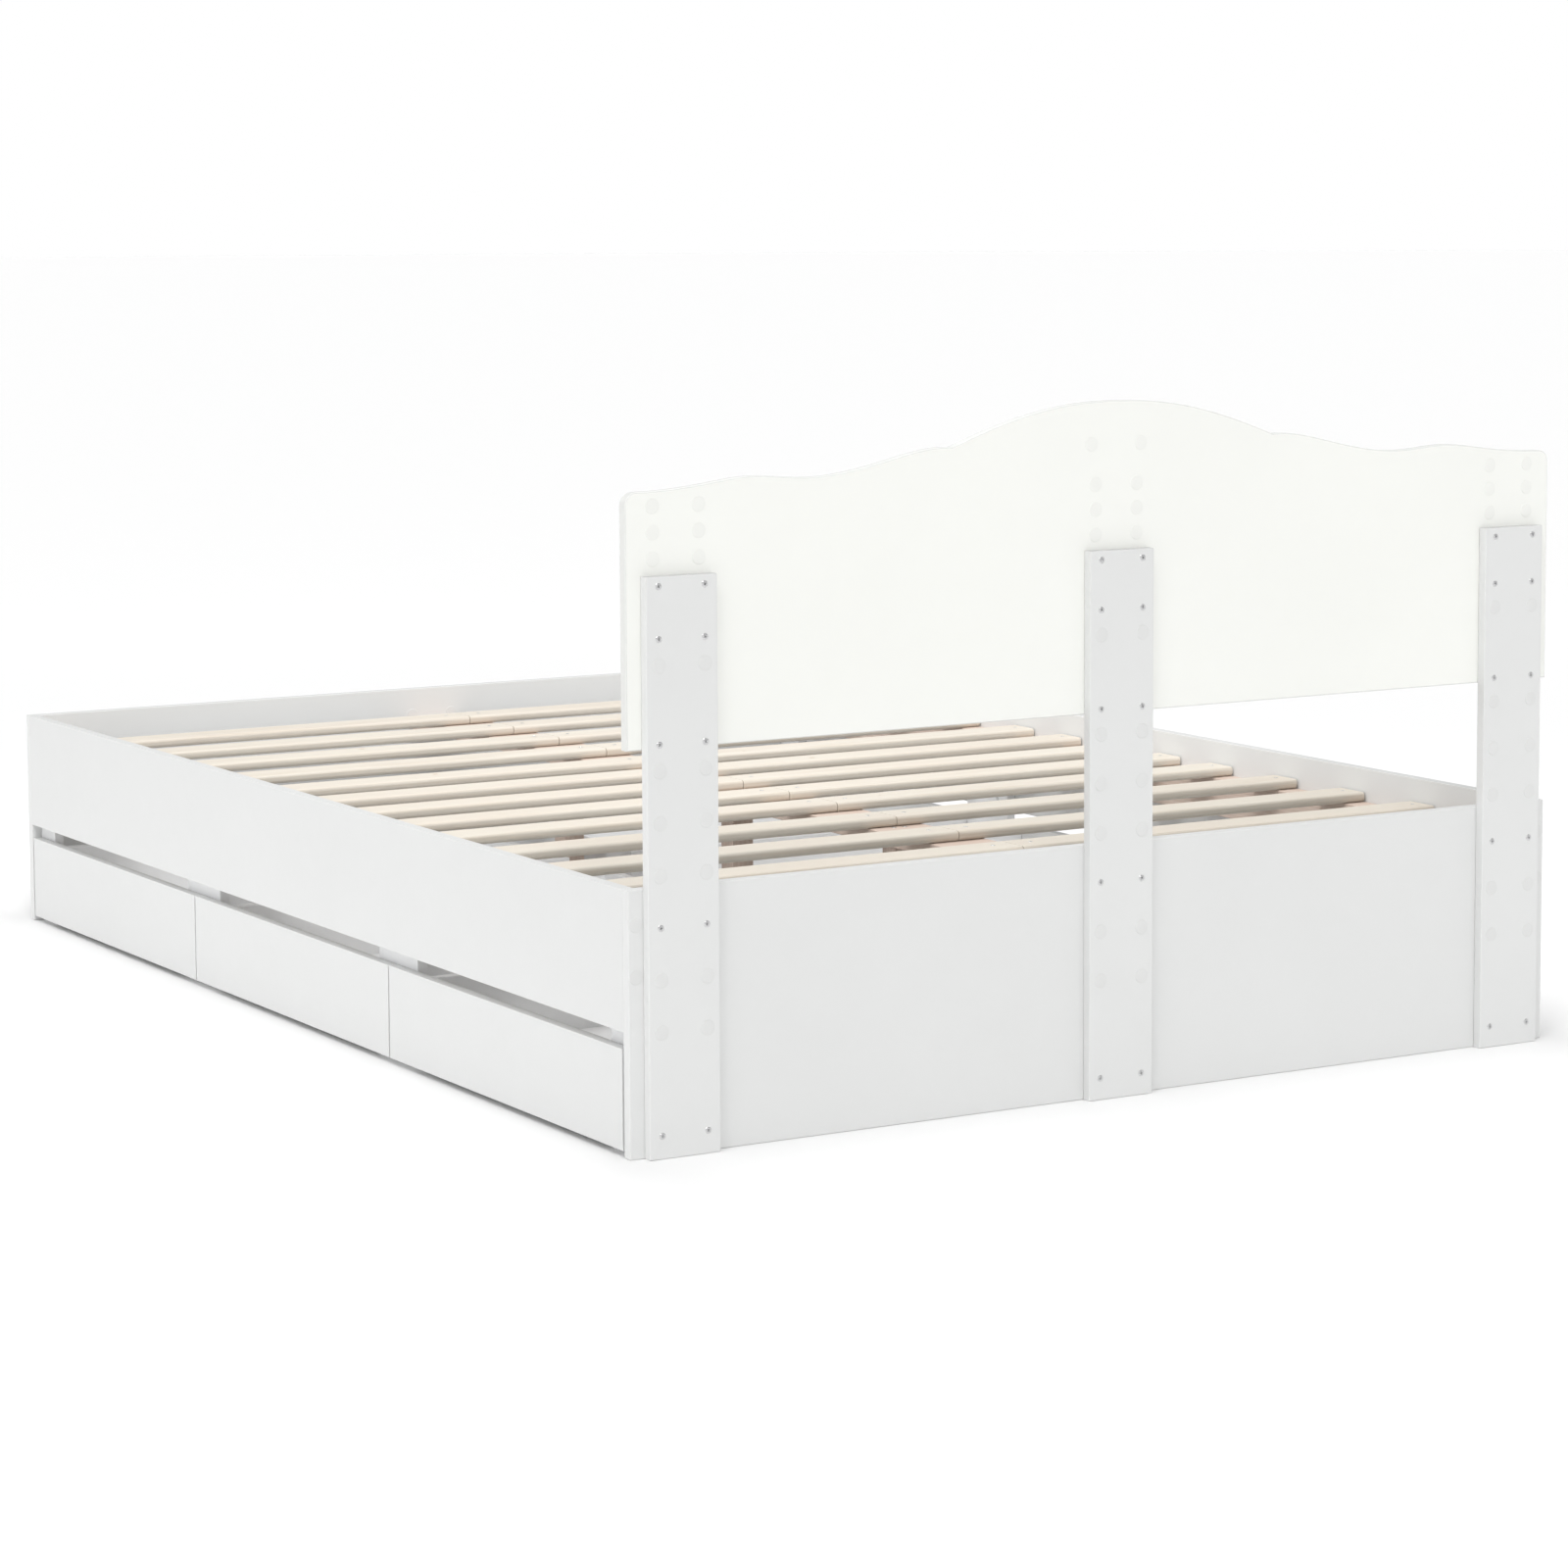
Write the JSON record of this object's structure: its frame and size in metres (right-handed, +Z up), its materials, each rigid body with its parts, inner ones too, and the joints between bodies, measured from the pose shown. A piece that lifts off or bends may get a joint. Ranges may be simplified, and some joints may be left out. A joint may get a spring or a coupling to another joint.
{
  "type": "bed frame",
  "caption": "Double bed frame with scalloped headboard on rear posts, coated board panels, split pine slats on a centre beam and sliding drawers on both long sides.",
  "frame": {"origin": "on the floor, at the centre of the plan outline, headboard posts included", "axes": "+Y towards the headboard, along the bed; +X towards the sleeper's right-hand side (bed seen from its foot), +Z up"},
  "size_m": [1.43, 2.045, 0.903],
  "materials": {
    "white_board": "white melamine-coated engineered wood, fine satin",
    "headboard_white": "white sprayed paint on moulded board, smooth satin",
    "slat_pine": "planed pale pine, unfinished",
    "raw_pine": "sawn and planed pine, unfinished, slightly pink",
    "screw_steel": "zinc-plated screw heads",
    "cover_cap": "white self-adhesive cover caps",
    "castor_plastic": "black moulded nylon"
  },
  "bodies": {
    "frame": {"head_end_panel": "white_board", "foot_end_panel": "white_board", "headboard_panel": "headboard_white", "headboard_post_right": "white_board", "headboard_post_middle": "white_board", "headboard_post_left": "white_board", "side_rail_right": "white_board", "side_rail_left": "white_board", "leg_board_right_1": "white_board", "leg_board_right_2": "white_board", "leg_board_right_3": "white_board", "leg_board_right_4": "white_board", "leg_board_left_1": "white_board", "leg_board_left_2": "white_board", "leg_board_left_3": "white_board", "leg_board_left_4": "white_board", "centre_beam": "raw_pine", "centre_leg_1": "raw_pine", "centre_leg_2": "raw_pine", "centre_leg_3": "raw_pine", "slat_ledger_right": "raw_pine", "slat_ledger_left": "raw_pine", "slat_01_right": "slat_pine", "slat_01_left": "slat_pine", "slat_02_right": "slat_pine", "slat_02_left": "slat_pine", "slat_03_right": "slat_pine", "slat_03_left": "slat_pine", "slat_04_right": "slat_pine", "slat_04_left": "slat_pine", "slat_05_right": "slat_pine", "slat_05_left": "slat_pine", "slat_06_right": "slat_pine", "slat_06_left": "slat_pine", "slat_07_right": "slat_pine", "slat_07_left": "slat_pine", "slat_08_right": "slat_pine", "slat_08_left": "slat_pine", "slat_09_right": "slat_pine", "slat_09_left": "slat_pine", "slat_10_right": "slat_pine", "slat_10_left": "slat_pine", "slat_11_right": "slat_pine", "slat_11_left": "slat_pine", "slat_12_right": "slat_pine", "slat_12_left": "slat_pine", "slat_13_right": "slat_pine", "slat_13_left": "slat_pine"},
    "drawer_right_1": {"drawer_right_1_front": "white_board", "drawer_right_1_tray": "white_board"},
    "drawer_right_2": {"drawer_right_2_front": "white_board", "drawer_right_2_tray": "white_board"},
    "drawer_right_3": {"drawer_right_3_front": "white_board", "drawer_right_3_tray": "white_board"},
    "drawer_left_1": {"drawer_left_1_front": "white_board", "drawer_left_1_tray": "white_board"},
    "drawer_left_2": {"drawer_left_2_front": "white_board", "drawer_left_2_tray": "white_board"},
    "drawer_left_3": {"drawer_left_3_front": "white_board", "drawer_left_3_tray": "white_board"}
  },
  "joints": [
    {"name": "drawer_right_1_slide", "type": "slide", "parent": "frame", "child": "drawer_right_1", "axis": [1, 0, 0], "range_m": [0, 0.5]},
    {"name": "drawer_right_2_slide", "type": "slide", "parent": "frame", "child": "drawer_right_2", "axis": [1, 0, 0], "range_m": [0, 0.5]},
    {"name": "drawer_right_3_slide", "type": "slide", "parent": "frame", "child": "drawer_right_3", "axis": [1, 0, 0], "range_m": [0, 0.5]},
    {"name": "drawer_left_1_slide", "type": "slide", "parent": "frame", "child": "drawer_left_1", "axis": [-1, 0, 0], "range_m": [0, 0.5]},
    {"name": "drawer_left_2_slide", "type": "slide", "parent": "frame", "child": "drawer_left_2", "axis": [-1, 0, 0], "range_m": [0, 0.5]},
    {"name": "drawer_left_3_slide", "type": "slide", "parent": "frame", "child": "drawer_left_3", "axis": [-1, 0, 0], "range_m": [0, 0.5]}
  ]
}
